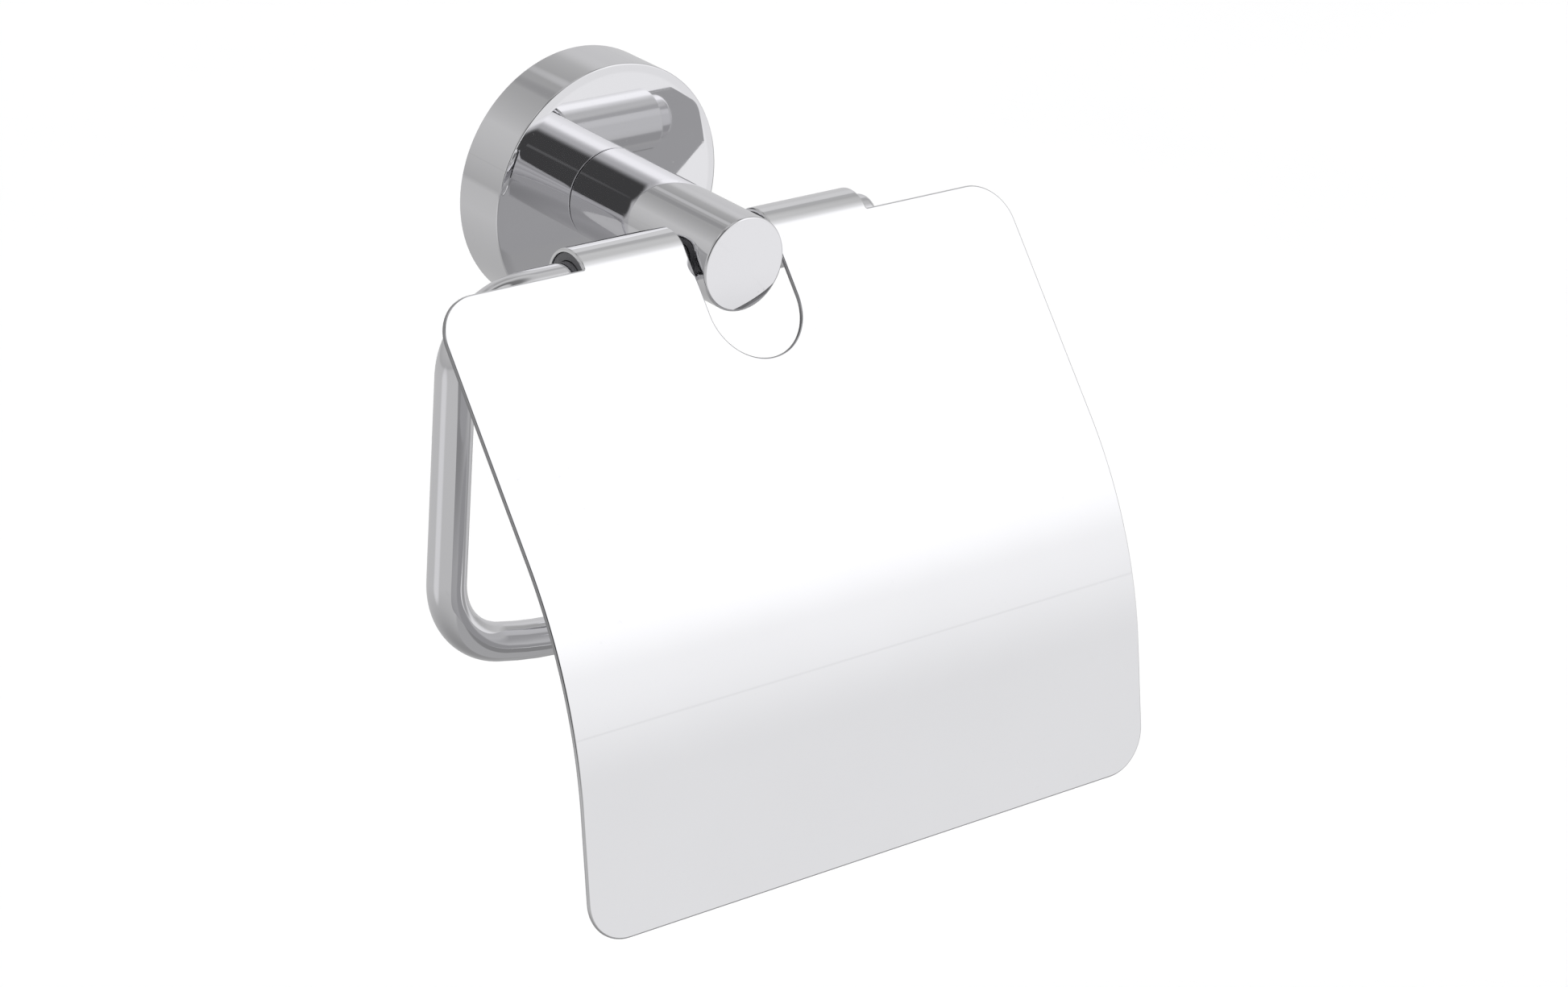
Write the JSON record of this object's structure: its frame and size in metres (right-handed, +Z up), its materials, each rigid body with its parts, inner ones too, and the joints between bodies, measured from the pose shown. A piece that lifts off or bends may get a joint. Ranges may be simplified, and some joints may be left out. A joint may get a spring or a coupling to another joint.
{
  "type": "toilet paper holder",
  "caption": "Wall-mounted toilet paper holder: round rosette and post, bent roll bar, and a curved sheet lid that hinges on the bar.",
  "frame": {"origin": "centre of the wall bracket's back face, on the wall", "axes": "+X to the right along the wall as seen from the room, +Y into the wall, +Z up"},
  "size_m": [0.1414, 0.1121, 0.1332],
  "materials": {
    "chrome": "polished chrome plate",
    "lid_chrome": "polished chromed sheet",
    "zinc": "raw die-cast zinc, matt",
    "steel": "plain steel screws",
    "bush_plastic": "dark grey moulded plastic"
  },
  "bodies": {
    "holder": {"wall_bracket": "zinc", "rosette": "chrome", "post": "chrome", "post_washer": "steel", "post_screw": "steel", "rosette_set_screw": "steel", "bar_set_screw": "steel", "roll_bar": "chrome", "bar_knob": "chrome"},
    "lid": {"lid": "lid_chrome", "hinge_bush_left": "bush_plastic", "hinge_bush_right": "bush_plastic"}
  },
  "joints": [
    {"name": "lid_hinge", "type": "hinge", "parent": "holder", "child": "lid", "pos_m": [0, -0.0474, -0.0004], "axis": [-1, 0, 0], "range_deg": [-38, 168]}
  ]
}
